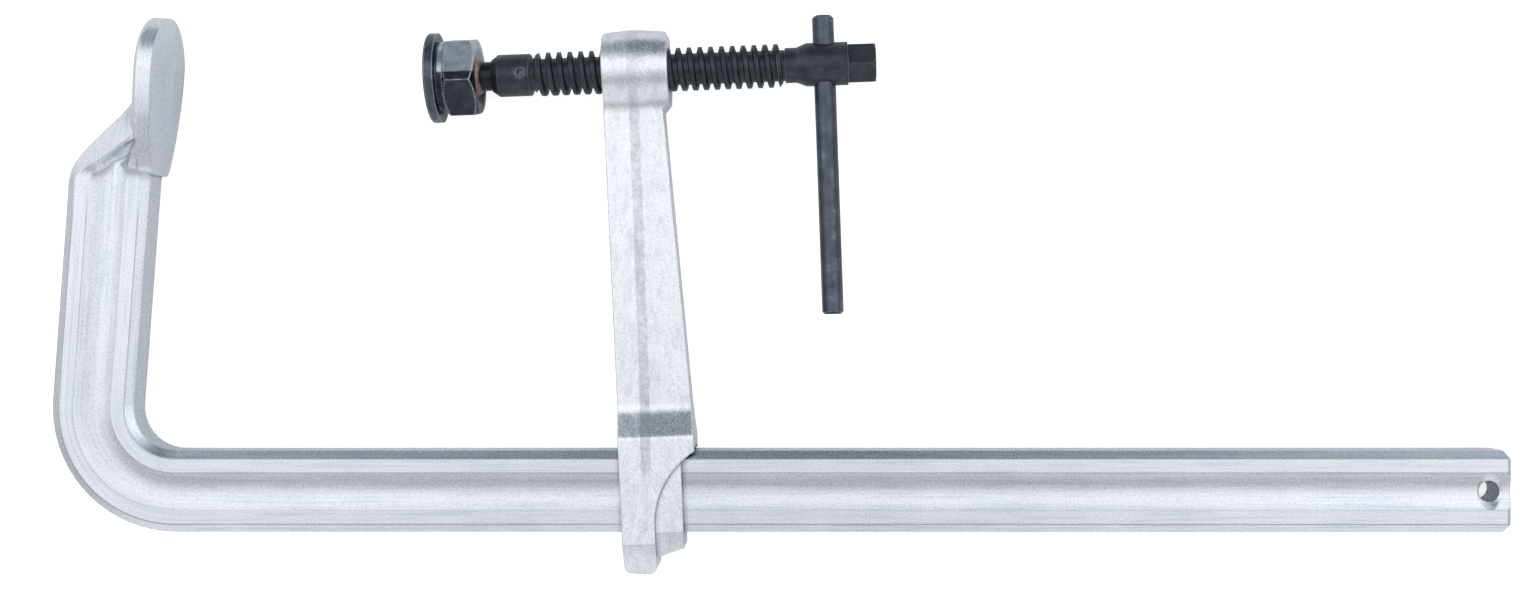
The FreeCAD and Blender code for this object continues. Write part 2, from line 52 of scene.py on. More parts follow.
# Set screw that holds the ball stud in the collar, with its hexagonal socket
SET_SCREW_BEVEL = 0.45 * MM
SET_SCREW_BEVEL_SLOPE = 0.6
SET_SCREW_ACROSS_FLATS = 2.5 * MM
SET_SCREW_SOCKET_DEPTH = 2.2 * MM
SET_SCREW_SOCKET_RIM = 0.25 * MM
SET_SCREW_SOCKET_CHAMFER = 0.2 * MM
SET_SCREW_SEGMENTS = 48

# Sliding arm: a point on its middle line at the rail, its lean, and the middle of its boss
ARM_FOOT = (0.178963, -0.155)
ARM_LEAN = 2.0
ARM_LENGTH_SHOWN = 170.0 * MM
BOSS_MIDDLE = (0.173554, -0.000094)

# Slopes of the arm's two edges, and the draft of its faces, which starts beside the middle
ARM_LEFT_SLOPE = -0.0108
ARM_RIGHT_SLOPE = -0.0592
ARM_DRAFT_FROM = 1.8 * MM
ARM_DRAFT = 5.0

# Flare between the arm's stem and head, by distance from the rail's middle. The solid has it as
# two equal arcs. The forging in the photograph spreads it over more of the stem.
FLARE_TOP = 30.0 * MM
FLARE_BOTTOM = 19.6 * MM
FLARE_STEM_HALF_DEPTH = 8.6 * MM
FLARE_HEAD_HALF_DEPTH = 14.2 * MM
SPREAD_TOP = 32.4 * MM
SPREAD_SLOPE = 29.5
SPREAD_TOP_BEND = 8.5 * MM
SPREAD_LOW_BEND = 3.0 * MM
SPREAD_BEND_SHARE = 0.375
FLARE_MARGIN = 0.05 * MM

# Parting stripe of the forging, and its strength by share of the way up the arm
STRIPE_MIDDLE = -0.5 * MM
STRIPE_HALF_WIDTH = 1.8 * MM
STRIPE_RAGGED = 0.7 * MM
STRIPE_EDGE = 0.2 * MM
STRIPE_TONE = (0.66, 0.675, 0.70)
STRIPE_ROUGHER = 0.08
STRIPE_STRENGTH = [
    (0.00, 0.0),
    (0.03, 0.0),
    (0.05, 0.8),
    (0.12, 1.0),
    (0.19, 1.0),
    (0.24, 0.75),
    (0.82, 0.70),
    (0.88, 0.35),
    (1.00, 0.25),
]

# Rail, the bend in its middle line, and the leg of the fixed jaw
RAIL_HALF_HEIGHT = 15.0 * MM
RAIL_HALF_THICKNESS = 7.5 * MM
BEND_RADIUS = 30.5 * MM
BEND_CENTRE = (0.004345, -0.1245)
LEG_LEAN = 4.5

# Up the leg, from the level of the spindle: where its shading is kept straight as it runs into
# the forged jaw, for faces that slope less than this
LEG_STRAIGHT_SHADING = (-47.2 * MM, -42.6 * MM)
LEG_SHADING_SLOPE = 0.35

# Painted shade lines where the rail's groove, flats and bevels meet: half width of the core and
# with its edge, and where up the leg they fade out under the jaw
EDGE_SHADE_HALF_WIDTHS = (0.12 * MM, 0.34 * MM)
EDGE_SHADE_FADE = (-56.0 * MM, -48.0 * MM)

# Zinc: base colours, and for the drawn rail and the forged arm the sizes of edge rounding, grain
# and dents, with painted shade in the dents' hollows. The edge lines are fine lines of painted
# shade: the distance from the rail's middle, and how dark they are.
RAIL_TONE = (0.83, 0.865, 0.915)
ARM_TONE = (0.905, 0.93, 0.975)
CLOUD_TONE = (0.94, 0.945, 0.96)
GRAIN_GLINT = 1.07
ZINC_ROUGHNESS = (0.22, 0.32)
DRAWN_FINISH = {
    "drawn": True,
    "edge": 0.6 * MM,
    "grain": 0.5 * MM,
    "grain_depth": 0.030 * MM,
    "speck": 0.72,
    "dents": 1.1 * MM,
    "dent_depth": 0.014 * MM,
    "stretch": (0.03, 1.0, 1.0),
    "dent_shade": (0.84, 0.87, 0.91),
    "edge_shade_lines": [(12.0 * MM, 0.66), (6.9 * MM, 0.80)],
}
FORGED_FINISH = {
    "drawn": False,
    "edge": 1.1 * MM,
    "grain": 0.75 * MM,
    "grain_depth": 0.038 * MM,
    "speck": 0.82,
    "dents": 5.0 * MM,
    "dent_depth": 0.30 * MM,
    "stretch": (1.7, 0.6, 1.0),
    "dent_shade": (0.85, 0.88, 0.92),
}

# Painted shade in the corners between the forged faces: its reach and tone
CREASE_SHADE_REACH = 3.4 * MM
CREASE_SHADE_TONE = (0.22, 0.26, 0.32)

# Base colours of the blackened steel, from blue-black to rubbed, and of its worn edges, which also
# carry a painted highlight
BLACK_TONES = [
    (0.35, (0.026, 0.031, 0.041)),
    (0.60, (0.046, 0.054, 0.068)),
    (0.78, (0.105, 0.118, 0.138)),
]
EDGE_WEAR_HIGHLIGHT_TONE = (0.68, 0.74, 0.80)
EDGE_WEAR_HIGHLIGHT_COSINES = (0.99, 0.90)

# Nut: its flats on one side get a painted sheen, fading in across its middle
NUT_SHEEN_TONE = (0.53, 0.61, 0.67)
NUT_SHEEN_FADE = (0.2 * MM, 0.9 * MM)

# Ball stud: the ball's browns, and where black begins, along the spindle from the arm's boss
BALL_TONES = [
    (0.35, (0.13, 0.08, 0.06)),
    (0.55, (0.33, 0.225, 0.175)),
    (0.75, (0.52, 0.40, 0.335)),
]
STUD_BLACK_FROM = -57.2 * MM
STUD_BLACK_FADE = (-0.6 * MM, 0.5 * MM)

# Grains to a metre in the noise of each mark on the surfaces
CLOUDS = 55.0
WEAR = 170.0
BALL_STAIN = 230.0
NUT_SHEEN_PATCHES = 240.0
STRIPE_RAGS = 260.0
STRIPE_MOTTLE = 420.0
BLACK_GLOSS = 420.0
EDGE_PATCHES = 520.0
STUD_GRAIN = 900.0
NUT_GRAIN = 1100.0
BLACK_GRAIN = 1500.0

# Brightness of the surroundings by direction: rows from -Y to +Y, columns from -X to +X
SKY_STRENGTH = 2.0
SKY_BLUE = 1.015
SKY_ROWS = [
    (0.00, 0.82),
    (0.05, 0.80),
    (0.13, 0.72),
    (0.22, 0.46),
    (0.32, 0.52),
    (0.38, 0.70),
    (0.44, 0.87),
    (0.49, 1.00),
    (0.62, 1.08),
    (0.74, 1.02),
    (1.00, 0.95),
]
SKY_COLUMNS = [
    (0.00, 0.55),
    (0.07, 0.88),
    (0.15, 1.08),
    (0.25, 1.15),
    (0.31, 1.12),
    (0.38, 1.02),
    (0.46, 0.95),
    (0.51, 0.92),
    (0.58, 1.03),
    (0.65, 1.12),
    (0.78, 1.14),
    (0.88, 1.08),
    (1.00, 0.50),
]

# Dark band of the surroundings towards +Y: where it begins, and its brightness from -X to +X
BAND_START = 0.76
BAND_FULL = 0.86
BAND_COLUMNS = [
    (0.00, 0.20),
    (0.30, 0.46),
    (0.42, 0.28),
    (0.50, 0.13),
    (0.58, 0.27),
    (0.68, 0.55),
    (1.00, 0.25),
]
BAND_TINT = (0.90, 1.02, 1.12)

# Floor: its size, colour, and how much it glows for the camera and in reflections
FLOOR_SIZE = 8.0
FLOOR_COLOUR = (0.86, 0.87, 0.88)
FLOOR_ROUGHNESS = 0.9
FLOOR_GLOW = 0.72
FLOOR_GLOSSY_GLOW = 0.04

# Where the arm's head is deepest and touches the floor, above its lowest point
HEAD_DEEPEST = 30.0 * MM

# Camera, as the photograph was taken
CAMERA_PLACE = (0.2317, -0.0808, 0.6397)
CAMERA_TURN = (-0.649, 0.370, -0.036)
CAMERA_SENSOR_MM = 36.0
CAMERA_LENS_MM = 40.53
CAMERA_SHIFT = (-0.0097, 0.0031)
CAMERA_CLIP = (0.01, 50.0)

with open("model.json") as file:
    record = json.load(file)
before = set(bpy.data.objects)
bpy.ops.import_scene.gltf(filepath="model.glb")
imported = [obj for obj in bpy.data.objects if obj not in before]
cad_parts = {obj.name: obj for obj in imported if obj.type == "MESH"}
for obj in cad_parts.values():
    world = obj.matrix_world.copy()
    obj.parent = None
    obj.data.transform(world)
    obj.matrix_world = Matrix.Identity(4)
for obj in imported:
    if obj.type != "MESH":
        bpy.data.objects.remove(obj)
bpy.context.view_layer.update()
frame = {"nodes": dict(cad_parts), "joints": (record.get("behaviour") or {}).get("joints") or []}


# Node helpers

def new_material(name):
    material = bpy.data.materials.new(name)
    material.use_nodes = True
    tree = material.node_tree
    return material, tree, tree.nodes["Principled BSDF"]


def own_place(tree):
    """Place in the object's own coordinates."""
    return tree.nodes.new("ShaderNodeTexCoord").outputs["Object"]


def noise(tree, scale, detail=4.0, roughness=0.55, stretch=None, source=None):
    """Noise with the given grains to a metre, in the object's own coordinates or the given ones."""
    if source is None:
        source = own_place(tree)
    if stretch:
        mapping = tree.nodes.new("ShaderNodeMapping")
        mapping.inputs["Scale"].default_value = stretch
        tree.links.new(source, mapping.inputs["Vector"])
        source = mapping.outputs["Vector"]
    texture = tree.nodes.new("ShaderNodeTexNoise")
    texture.inputs["Scale"].default_value = scale
    texture.inputs["Detail"].default_value = detail
    texture.inputs["Roughness"].default_value = roughness
    tree.links.new(source, texture.inputs["Vector"])
    return texture.outputs["Fac"]


def ramp(tree, value, stops):
    """Colour ramp over (position, colour) stops."""
    node = tree.nodes.new("ShaderNodeValToRGB")
    elements = node.color_ramp.elements
    while len(elements) < len(stops):
        elements.new(0.5)
    for element, (position, colour) in zip(elements, stops):
        element.position = position
        element.color = (*colour, 1.0)
    tree.links.new(value, node.inputs["Fac"])
    return node.outputs["Color"]


def greys(table):
    """Ramp stops of grey from a table of (position, level)."""
    return [(position, (level, level, level)) for position, level in table]


def map_range(tree, value, low, high, to_low, to_high):
    node = tree.nodes.new("ShaderNodeMapRange")
    tree.links.new(value, node.inputs["Value"])
    node.inputs["From Min"].default_value = low
    node.inputs["From Max"].default_value = high
    node.inputs["To Min"].default_value = to_low
    node.inputs["To Max"].default_value = to_high
    return node.outputs["Result"]


def dot_product(tree, first, second):
    """Dot product of a vector with another, or with fixed numbers."""
    node = tree.nodes.new("ShaderNodeVectorMath")
    node.operation = "DOT_PRODUCT"
    tree.links.new(first, node.inputs[0])
    if isinstance(second, tuple):
        node.inputs[1].default_value = second
    else:
        tree.links.new(second, node.inputs[1])
    return node.outputs["Value"]


def calculated(tree, operation, first, second=0.0):
    """One step of arithmetic on values or numbers."""
    node = tree.nodes.new("ShaderNodeMath")
    node.operation = operation
    for socket, value in zip(node.inputs, (first, second)):
        if isinstance(value, (int, float)):
            socket.default_value = value
        else:
            tree.links.new(value, socket)
    return node.outputs["Value"]


def blended(tree, share, first, second):
    """From the first value to the second by the share."""
    node = tree.nodes.new("ShaderNodeMix")
    sockets = node.inputs[:1] + node.inputs[2:4]
    for socket, value in zip(sockets, (share, first, second)):
        tree.links.new(value, socket)
    return node.outputs["Result"]


def mixed(tree, share, first, second, blend="MIX"):
    """From the first colour to the second by the share."""
    node = tree.nodes.new("ShaderNodeMix")
    node.data_type = "RGBA"
    node.blend_type = blend
    for name, value in (("Factor", share), ("A", first), ("B", second)):
        if isinstance(value, float):
            node.inputs[name].default_value = value
        elif isinstance(value, tuple):
            node.inputs[name].default_value = (*value, 1.0)
        else:
            tree.links.new(value, node.inputs[name])
    return node.outputs["Result"]


def multiplied(tree, first, second):
    """Product of two colours."""
    return mixed(tree, 1.0, first, second, "MULTIPLY")


def softened(tree, radius):
    """Normal with the sharp edges rounded."""
    node = tree.nodes.new("ShaderNodeBevel")
    node.samples = 6
    node.inputs["Radius"].default_value = radius
    return node.outputs["Normal"]


def bumped(tree, height, distance, normal):
    node = tree.nodes.new("ShaderNodeBump")
    node.inputs["Strength"].default_value = 1.0
    node.inputs["Distance"].default_value = distance
    tree.links.new(height, node.inputs["Height"])
    tree.links.new(normal, node.inputs["Normal"])
    return node.outputs["Normal"]


def along(tree, origin, angle):
    """Distance from the origin in the plane of the clamp, in a direction given from +X."""
    direction = (math.cos(math.radians(angle)), math.sin(math.radians(angle)), 0.0)
    start = origin[0] * direction[0] + origin[1] * direction[1]
    return calculated(tree, "SUBTRACT", dot_product(tree, own_place(tree), direction), start)


# Zinc

def parting_stripe(tree):
    """Strength of the parting stripe: ragged, mottled, faint on the boss, none at the foot."""
    across = calculated(tree, "SUBTRACT", along(tree, ARM_FOOT, ARM_LEAN), STRIPE_MIDDLE)
    ragged = map_range(tree, noise(tree, STRIPE_RAGS, detail=3.0), 0.0, 1.0,
                       -STRIPE_RAGGED, STRIPE_RAGGED)
    distance = calculated(tree, "ADD", calculated(tree, "ABSOLUTE", across), ragged)
    inside = map_range(tree, distance, STRIPE_HALF_WIDTH - STRIPE_EDGE,
                       STRIPE_HALF_WIDTH + STRIPE_EDGE, 1.0, 0.0)
    height = map_range(tree, along(tree, ARM_FOOT, 90.0 + ARM_LEAN), 0.0, ARM_LENGTH_SHOWN,
                       0.0, 1.0)
    mottle = map_range(tree, noise(tree, STRIPE_MOTTLE, detail=5.0, roughness=0.7), 0.35, 0.60,
                       0.35, 1.0)
    return calculated(tree, "MULTIPLY", calculated(tree, "MULTIPLY", inside, mottle),
                      ramp(tree, height, greys(STRIPE_STRENGTH)))


def painted_crease_shade(tree):
    """Painted shade: grey in the corners between the forged faces, white elsewhere."""
    node = tree.nodes.new("ShaderNodeAmbientOcclusion")
    node.samples = 8
    node.inputs["Distance"].default_value = CREASE_SHADE_REACH
    return ramp(tree, node.outputs["AO"], [(0.35, CREASE_SHADE_TONE), (0.85, WHITE)])


def rail_course(tree):
    """Distances along the rail and across it from its middle line, round the bend, up the leg."""
    leg_angle = 90.0 - LEG_LEAN
    x = along(tree, BEND_CENTRE, 0.0)
    y = along(tree, BEND_CENTRE, 90.0)
    up_leg = along(tree, BEND_CENTRE, leg_angle)
    out_of_leg = along(tree, BEND_CENTRE, leg_angle + 90.0)
    left = calculated(tree, "MULTIPLY", x, -1.0)
    down = calculated(tree, "MULTIPLY", y, -1.0)
    on_rail = calculated(tree, "GREATER_THAN", x, 0.0)
    on_leg = calculated(tree, "MULTIPLY", calculated(tree, "GREATER_THAN", up_leg, 0.0),
                        calculated(tree, "LESS_THAN", x, 0.0))

    squares = calculated(tree, "ADD", calculated(tree, "MULTIPLY", x, x),
                         calculated(tree, "MULTIPLY", y, y))
    radius = blended(tree, on_rail, calculated(tree, "SQRT", squares), down)
    radius = blended(tree, on_leg, radius, out_of_leg)

    turned = calculated(tree, "ARCTAN2", left, down)
    leg_start = -BEND_RADIUS * math.radians(90.0 + LEG_LEAN)
    length = blended(tree, on_rail, calculated(tree, "MULTIPLY", turned, -BEND_RADIUS), x)
    length = blended(tree, on_leg, length, calculated(tree, "SUBTRACT", leg_start, up_leg))
    return length, calculated(tree, "SUBTRACT", radius, BEND_RADIUS)


def painted_edge_line(tree, across, offset):
    """Mask of painted shade: 1 on the two lines at the given distance from the rail's middle, none
    on the jaw.
    """
    beside = calculated(tree, "SUBTRACT", calculated(tree, "ABSOLUTE", across), offset)
    line = map_range(tree, calculated(tree, "ABSOLUTE", beside), *EDGE_SHADE_HALF_WIDTHS, 1.0, 0.0)
    up_leg = along(tree, (0.0, 0.0), 90.0 - LEG_LEAN)
    return calculated(tree, "MULTIPLY", line, map_range(tree, up_leg, *EDGE_SHADE_FADE, 1.0, 0.0))


def joined(tree, length, across):
    """Coordinates that follow the rail's course."""
    split = tree.nodes.new("ShaderNodeSeparateXYZ")
    tree.links.new(own_place(tree), split.inputs[0])
    node = tree.nodes.new("ShaderNodeCombineXYZ")
    for socket, value in zip(node.inputs, (length, across, split.outputs["Z"])):
        tree.links.new(value, socket)
    return node.outputs["Vector"]


def zinc(name, finish, tone):
    """Bright zinc: fine grain and duller clouds, painted shade in the corners and in the dents'
    hollows, with the streaks and painted shade lines at the edges of drawn steel, or with the
    shallow dents and parting stripe of a forging."""
    material, tree, shader = new_material(name)
    course = None
    if finish["drawn"]:
        length, across = rail_course(tree)
        course = joined(tree, length, across)
    grain = noise(tree, 1.0 / finish["grain"], detail=3.0, roughness=0.62)
    dents = noise(tree, 1.0 / finish["dents"], detail=4.0, roughness=0.6,
                  stretch=finish["stretch"], source=course)
    tint = ramp(tree, grain, [
        (0.30, tuple(finish["speck"] * part for part in tone)),
        (0.50, tone),
        (0.72, tuple(min(1.0, GRAIN_GLINT * part) for part in tone)),
    ])
    clouds = ramp(tree, noise(tree, CLOUDS), [(0.32, CLOUD_TONE), (0.62, WHITE)])
    # Painted shade: darker in the hollows of the dents.
    dent_shade = ramp(tree, dents, [(0.34, finish["dent_shade"]), (0.52, WHITE)])
    # Painted shade in the corners between faces darkens the tint as well.
    for shade in (clouds, dent_shade, painted_crease_shade(tree)):
        tint = multiplied(tree, tint, shade)
    rough = map_range(tree, grain, 0.3, 0.7, *ZINC_ROUGHNESS)
    if finish["drawn"]:
        # Painted shade: fine dark lines along the edges of the groove, flats and bevels.
        for offset, level in finish["edge_shade_lines"]:
            edge_shaded = multiplied(tree, tint, (level, level, level))
            tint = mixed(tree, painted_edge_line(tree, across, offset), tint, edge_shaded)
    else:
        mask = parting_stripe(tree)
        tint = mixed(tree, mask, tint, multiplied(tree, tint, STRIPE_TONE))
        rough = calculated(tree, "ADD", rough, calculated(tree, "MULTIPLY", mask, STRIPE_ROUGHER))
    tree.links.new(tint, shader.inputs["Base Color"])
    tree.links.new(rough, shader.inputs["Roughness"])
    shader.inputs["Metallic"].default_value = 1.0
    normal = softened(tree, finish["edge"])
    normal = bumped(tree, dents, finish["dent_depth"], normal)
    normal = bumped(tree, grain, finish["grain_depth"], normal)
    tree.links.new(normal, shader.inputs["Normal"])
    return material


# Blackened steel

def wear_and_edge_highlight(tree, rounded):
    """Mask of edge wear and painted highlight: 1 on the edges and 0 on the faces, from how far the
    rounded normal leaves the face's own.
    """
    geometry = tree.nodes.new("ShaderNodeNewGeometry")
    cosine = dot_product(tree, geometry.outputs["Normal"], rounded)
    edges = map_range(tree, cosine, *EDGE_WEAR_HIGHLIGHT_COSINES, 0.0, 1.0)
    patches = map_range(tree, noise(tree, EDGE_PATCHES), 0.32, 0.60, 0.35, 1.0)
    return calculated(tree, "MULTIPLY", edges, patches)


def black_oxide(tree, shader, roughness, metal_share, brightness=1.0):
    """Sets the roughness and metal share, and gives the colour: blue-black with rubbed spots."""
    gloss = noise(tree, BLACK_GLOSS)
    spread = map_range(tree, gloss, 0.3, 0.7, roughness - 0.05, roughness + 0.07)
    tree.links.new(spread, shader.inputs["Roughness"])
    shader.inputs["Metallic"].default_value = metal_share
    wear = noise(tree, WEAR, detail=6.0, roughness=0.65)
    return ramp(tree, wear, [
        (share, tuple(brightness * part for part in colour)) for share, colour in BLACK_TONES
    ])


def finished(tree, shader, tint, normal, grain, depth):
    """Gives the shader its colour, and its normal with a fine grain."""
    tree.links.new(tint, shader.inputs["Base Color"])
    tree.links.new(bumped(tree, grain, depth, normal), shader.inputs["Normal"])


def blackened_steel(name, roughness, edge_radius, metal_share, brightness):
    """Black oxide with worn edges that also carry a painted highlight."""
    material, tree, shader = new_material(name)
    tint = black_oxide(tree, shader, roughness, metal_share, brightness)
    rounded = softened(tree, edge_radius)
    # Worn edges, lightened also as a painted highlight.
    tint = mixed(tree, wear_and_edge_highlight(tree, rounded), tint, EDGE_WEAR_HIGHLIGHT_TONE)
    finished(tree, shader, tint, rounded, noise(tree, BLACK_GRAIN, detail=3.0), 0.010 * MM)
    return material


def nut_steel(name):
    """Blackened nut with worn edges that carry a painted highlight, and a painted sheen in patches
    on its flats on one side.
    """
    material, tree, shader = new_material(name)
    tint = black_oxide(tree, shader, 0.24, 0.9)
    low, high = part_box("pad_nut")
    middle = ((low.x + high.x) / 2, (low.y + high.y) / 2)
    # Painted sheen: the nut's flats on one side lighter, in patches.
    side = map_range(tree, along(tree, middle, 90.0 + ARM_LEAN), *NUT_SHEEN_FADE, 0.0, 1.0)
    patches = map_range(tree, noise(tree, NUT_SHEEN_PATCHES, roughness=0.6), 0.30, 0.65, 0.62, 1.0)
    tint = mixed(tree, calculated(tree, "MULTIPLY", side, patches), tint, NUT_SHEEN_TONE)
    rounded = softened(tree, 0.8 * MM)
    # Worn edges, lightened also as a painted highlight.
    tint = mixed(tree, wear_and_edge_highlight(tree, rounded), tint, EDGE_WEAR_HIGHLIGHT_TONE)
    finished(tree, shader, tint, rounded, noise(tree, NUT_GRAIN, detail=3.0), 0.008 * MM)
    return material


def stud_steel(name):
    """Ball browned by tempering, neck and shank black and shiny."""
    material, tree, shader = new_material(name)
    tint = black_oxide(tree, shader, 0.20, 0.8, 0.6)
    brown = ramp(tree, noise(tree, BALL_STAIN, detail=5.0, roughness=0.6), BALL_TONES)
    fade = [STUD_BLACK_FROM + part for part in STUD_BLACK_FADE]
    black = map_range(tree, along(tree, BOSS_MIDDLE, ARM_LEAN), *fade, 0.0, 1.0)
    tint = mixed(tree, black, brown, tint)
    finished(tree, shader, tint, softened(tree, 0.2 * MM), noise(tree, STUD_GRAIN), 0.006 * MM)
    return material


# Pieces

def new_piece(name, data):
    """Object with the mesh, in the scene."""
    piece = bpy.data.objects.new(name, data)
    bpy.context.scene.collection.objects.link(piece)
    return piece


def thread_profile():
    """One turn of the trapezoidal thread: distances along the axis, and rises from the root."""
    height = THREAD_MAJOR - THREAD_MINOR
    crest = THREAD_CREST_SHARE * THREAD_PITCH
    flank = height * math.tan(math.radians(THREAD_FLANK_ANGLE))
    soft = THREAD_EDGE_ROUND
    return [
        (0.0, 0.0),
        (flank - soft / 2, height - 2 * soft),
        (flank, height - soft / 2),
        (flank + soft, height),
        (flank + crest - soft, height),
        (flank + crest, height - soft / 2),
        (flank + crest + soft / 2, height - 2 * soft),
        (2 * flank + crest, 0.0),
    ]


def thread_radius(place, rise):
    """Radius of the thread at a place, tapered at both ends."""
    if place == THREAD_START:
        return THREAD_NECK
    if place == THREAD_END:
        return THREAD_MINOR
    lead_in = min(place - THREAD_START, THREAD_END - place) / THREAD_LEAD_IN
    share = THREAD_LEAD_IN_RISE + (1.0 - THREAD_LEAD_IN_RISE) * lead_in
    return THREAD_MINOR + rise * min(1.0, share)


def helical_thread(origin, axis):
    """Mesh of the right-hand thread. The profile goes round a helix that begins two turns before
    the thread and ends past it. What lies beyond the thread's ends is folded onto them."""
    profile = thread_profile()
    steps = len(profile)
    turns = math.ceil((THREAD_END - THREAD_START) / THREAD_PITCH) + 3
    side = axis.cross(Vector((0, 0, 1))).normalized()
    up = axis.cross(side).normalized()
    mesh = bmesh.new()
    columns = []
    for index in range(THREAD_SEGMENTS):
        share = index / THREAD_SEGMENTS
        angle = 2 * math.pi * share
        outward = side * math.cos(angle) + up * math.sin(angle)
        column = []
        for turn in range(turns):
            start = THREAD_START + THREAD_PHASE + (turn - 2 + share) * THREAD_PITCH
            for advance, rise in profile:
                place = min(max(start + advance, THREAD_START), THREAD_END)
                radius = thread_radius(place, rise)
                column.append(mesh.verts.new(origin + axis * place + outward * radius))
        columns.append(column)
    rows = turns * steps
    for index, column in enumerate(columns):
        wraps = index + 1 == THREAD_SEGMENTS
        following = columns[0] if wraps else columns[index + 1]
        offset = steps if wraps else 0
        for row in range(rows - 1 - offset):
            mesh.faces.new((column[row], column[row + 1],
                            following[row + 1 + offset], following[row + offset]))
    bmesh.ops.remove_doubles(mesh, verts=mesh.verts, dist=1e-7)
    bmesh.ops.dissolve_degenerate(mesh, edges=mesh.edges, dist=1e-7)
    bmesh.ops.recalc_face_normals(mesh, faces=mesh.faces)
    return mesh


def threaded_spindle():
    """The solid spindle with its plain screw exchanged for the helical thread."""
    turn = next(joint for joint in frame["joints"] if joint["name"] == "spindle_turn")
    origin = Vector(turn["pos_m"])
    axis = Vector(turn["axis"]).normalized()
    mesh = bmesh.new()
    mesh.from_mesh(frame["nodes"]["spindle"].data)
    margin = 0.02 * MM
    plain = []
    for face in mesh.faces:
        places = [(vertex.co - origin).dot(axis) for vertex in face.verts]
        if min(places) > THREAD_START - margin and max(places) < THREAD_END + margin:
            plain.append(face)
    bmesh.ops.delete(mesh, geom=plain, context="FACES")
    thread = bpy.data.meshes.new("thread")
    part = helical_thread(origin, axis)
    part.to_mesh(thread)
    part.free()
    mesh.from_mesh(thread)
    data = bpy.data.meshes.new("spindle_threaded")
    mesh.to_mesh(data)
    mesh.free()
    piece = new_piece("spindle_threaded", data)
    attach(piece, "spindle")
    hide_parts("spindle")
    return piece


def solid_flare(height):
    """Half depth of the solid arm at a height in the flare, and the share of the way down it."""
    run = FLARE_TOP - FLARE_BOTTOM
    step = FLARE_HEAD_HALF_DEPTH - FLARE_STEM_HALF_DEPTH
    radius = (run ** 2 + step ** 2) / (4 * step)
    sweep = 2 * math.atan2(step, run)
    if height > (FLARE_TOP + FLARE_BOTTOM) / 2:
        angle = math.asin(max(0.0, FLARE_TOP - height) / radius)
        return FLARE_STEM_HALF_DEPTH + radius * (1 - math.cos(angle)), angle / sweep / 2
    angle = math.asin(max(0.0, height - FLARE_BOTTOM) / radius)
    return FLARE_HEAD_HALF_DEPTH - radius * (1 - math.cos(angle)), 1 - angle / sweep / 2


def spread_flare(share):
    """Height and half depth at a share of the way down the longer flare."""
    slope = math.radians(SPREAD_SLOPE)

    def upper_bend(angle):
        return Vector((SPREAD_TOP - SPREAD_TOP_BEND * math.sin(angle),
                       FLARE_STEM_HALF_DEPTH + SPREAD_TOP_BEND * (1 - math.cos(angle))))

    def lower_depth(angle):
        return FLARE_HEAD_HALF_DEPTH - SPREAD_LOW_BEND * (1 - math.cos(angle))

    top_end = upper_bend(slope)
    low_end_depth = lower_depth(slope)
    low_end = Vector((top_end.x - (low_end_depth - top_end.y) / math.tan(slope), low_end_depth))
    if share < SPREAD_BEND_SHARE:
        return upper_bend(slope * share / SPREAD_BEND_SHARE)
    if share > 1 - SPREAD_BEND_SHARE:
        angle = slope * (1 - share) / SPREAD_BEND_SHARE
        bottom = low_end.x - SPREAD_LOW_BEND * math.sin(slope)
        return Vector((bottom + SPREAD_LOW_BEND * math.sin(angle), lower_depth(angle)))
    return top_end.lerp(low_end, (share - SPREAD_BEND_SHARE) / (1 - 2 * SPREAD_BEND_SHARE))


def forged_arm():
    """The solid arm with its flare spread up the stem, face for face."""
    data = frame["nodes"]["sliding_arm"].data.copy()
    lean = math.radians(ARM_LEAN)
    draft = math.tan(math.radians(ARM_DRAFT))
    across = Vector((math.cos(lean), math.sin(lean), 0.0))
    upward = Vector((-math.sin(lean), math.cos(lean), 0.0))
    foot = Vector((*ARM_FOOT, 0.0))
    for vertex in data.vertices:
        place = vertex.co - foot
        side, height = place.dot(across), place.dot(upward)
        if not FLARE_BOTTOM - FLARE_MARGIN < height < FLARE_TOP + FLARE_MARGIN:
            continue
        inset = max(0.0, abs(side - STRIPE_MIDDLE) - ARM_DRAFT_FROM) * draft
        depth, share = solid_flare(height)
        if abs(abs(vertex.co.z) + inset - depth) > FLARE_MARGIN:
            continue
        target = spread_flare(share)
        slope = 0.0
        if side < STRIPE_MIDDLE - 2 * ARM_DRAFT_FROM:
            slope = ARM_LEFT_SLOPE
        elif side > STRIPE_MIDDLE + 2 * ARM_DRAFT_FROM:
            slope = ARM_RIGHT_SLOPE
        rise = target.x - height
        flat = vertex.co + upward * rise + across * slope * rise
        vertex.co = (flat.x, flat.y, math.copysign(target.y - inset, vertex.co.z))
    piece = new_piece("forged_arm", data)
    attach(piece, "arm")
    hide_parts("sliding_arm")
    return piece


def rail_and_jaw():
    """The solid rail, its shading kept straight where the leg runs into the forged jaw."""
    data = frame["nodes"]["rail_with_fixed_jaw"].data.copy()
    lean = math.radians(LEG_LEAN)
    upward = Vector((math.sin(lean), math.cos(lean), 0.0))
    low, high = LEG_STRAIGHT_SHADING
    normals = [corner.vector.copy() for corner in data.corner_normals]
    for index, loop in enumerate(data.loops):
        height = data.vertices[loop.vertex_index].co.dot(upward)
        slope = normals[index].dot(upward)
        if low < height < high and abs(slope) < LEG_SHADING_SLOPE:
            normals[index] = (normals[index] - upward * slope).normalized()
    data.normals_split_custom_set(normals)
    piece = new_piece("rail_and_jaw", data)
    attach(piece, "rail")
    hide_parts("rail_with_fixed_jaw")
    return piece


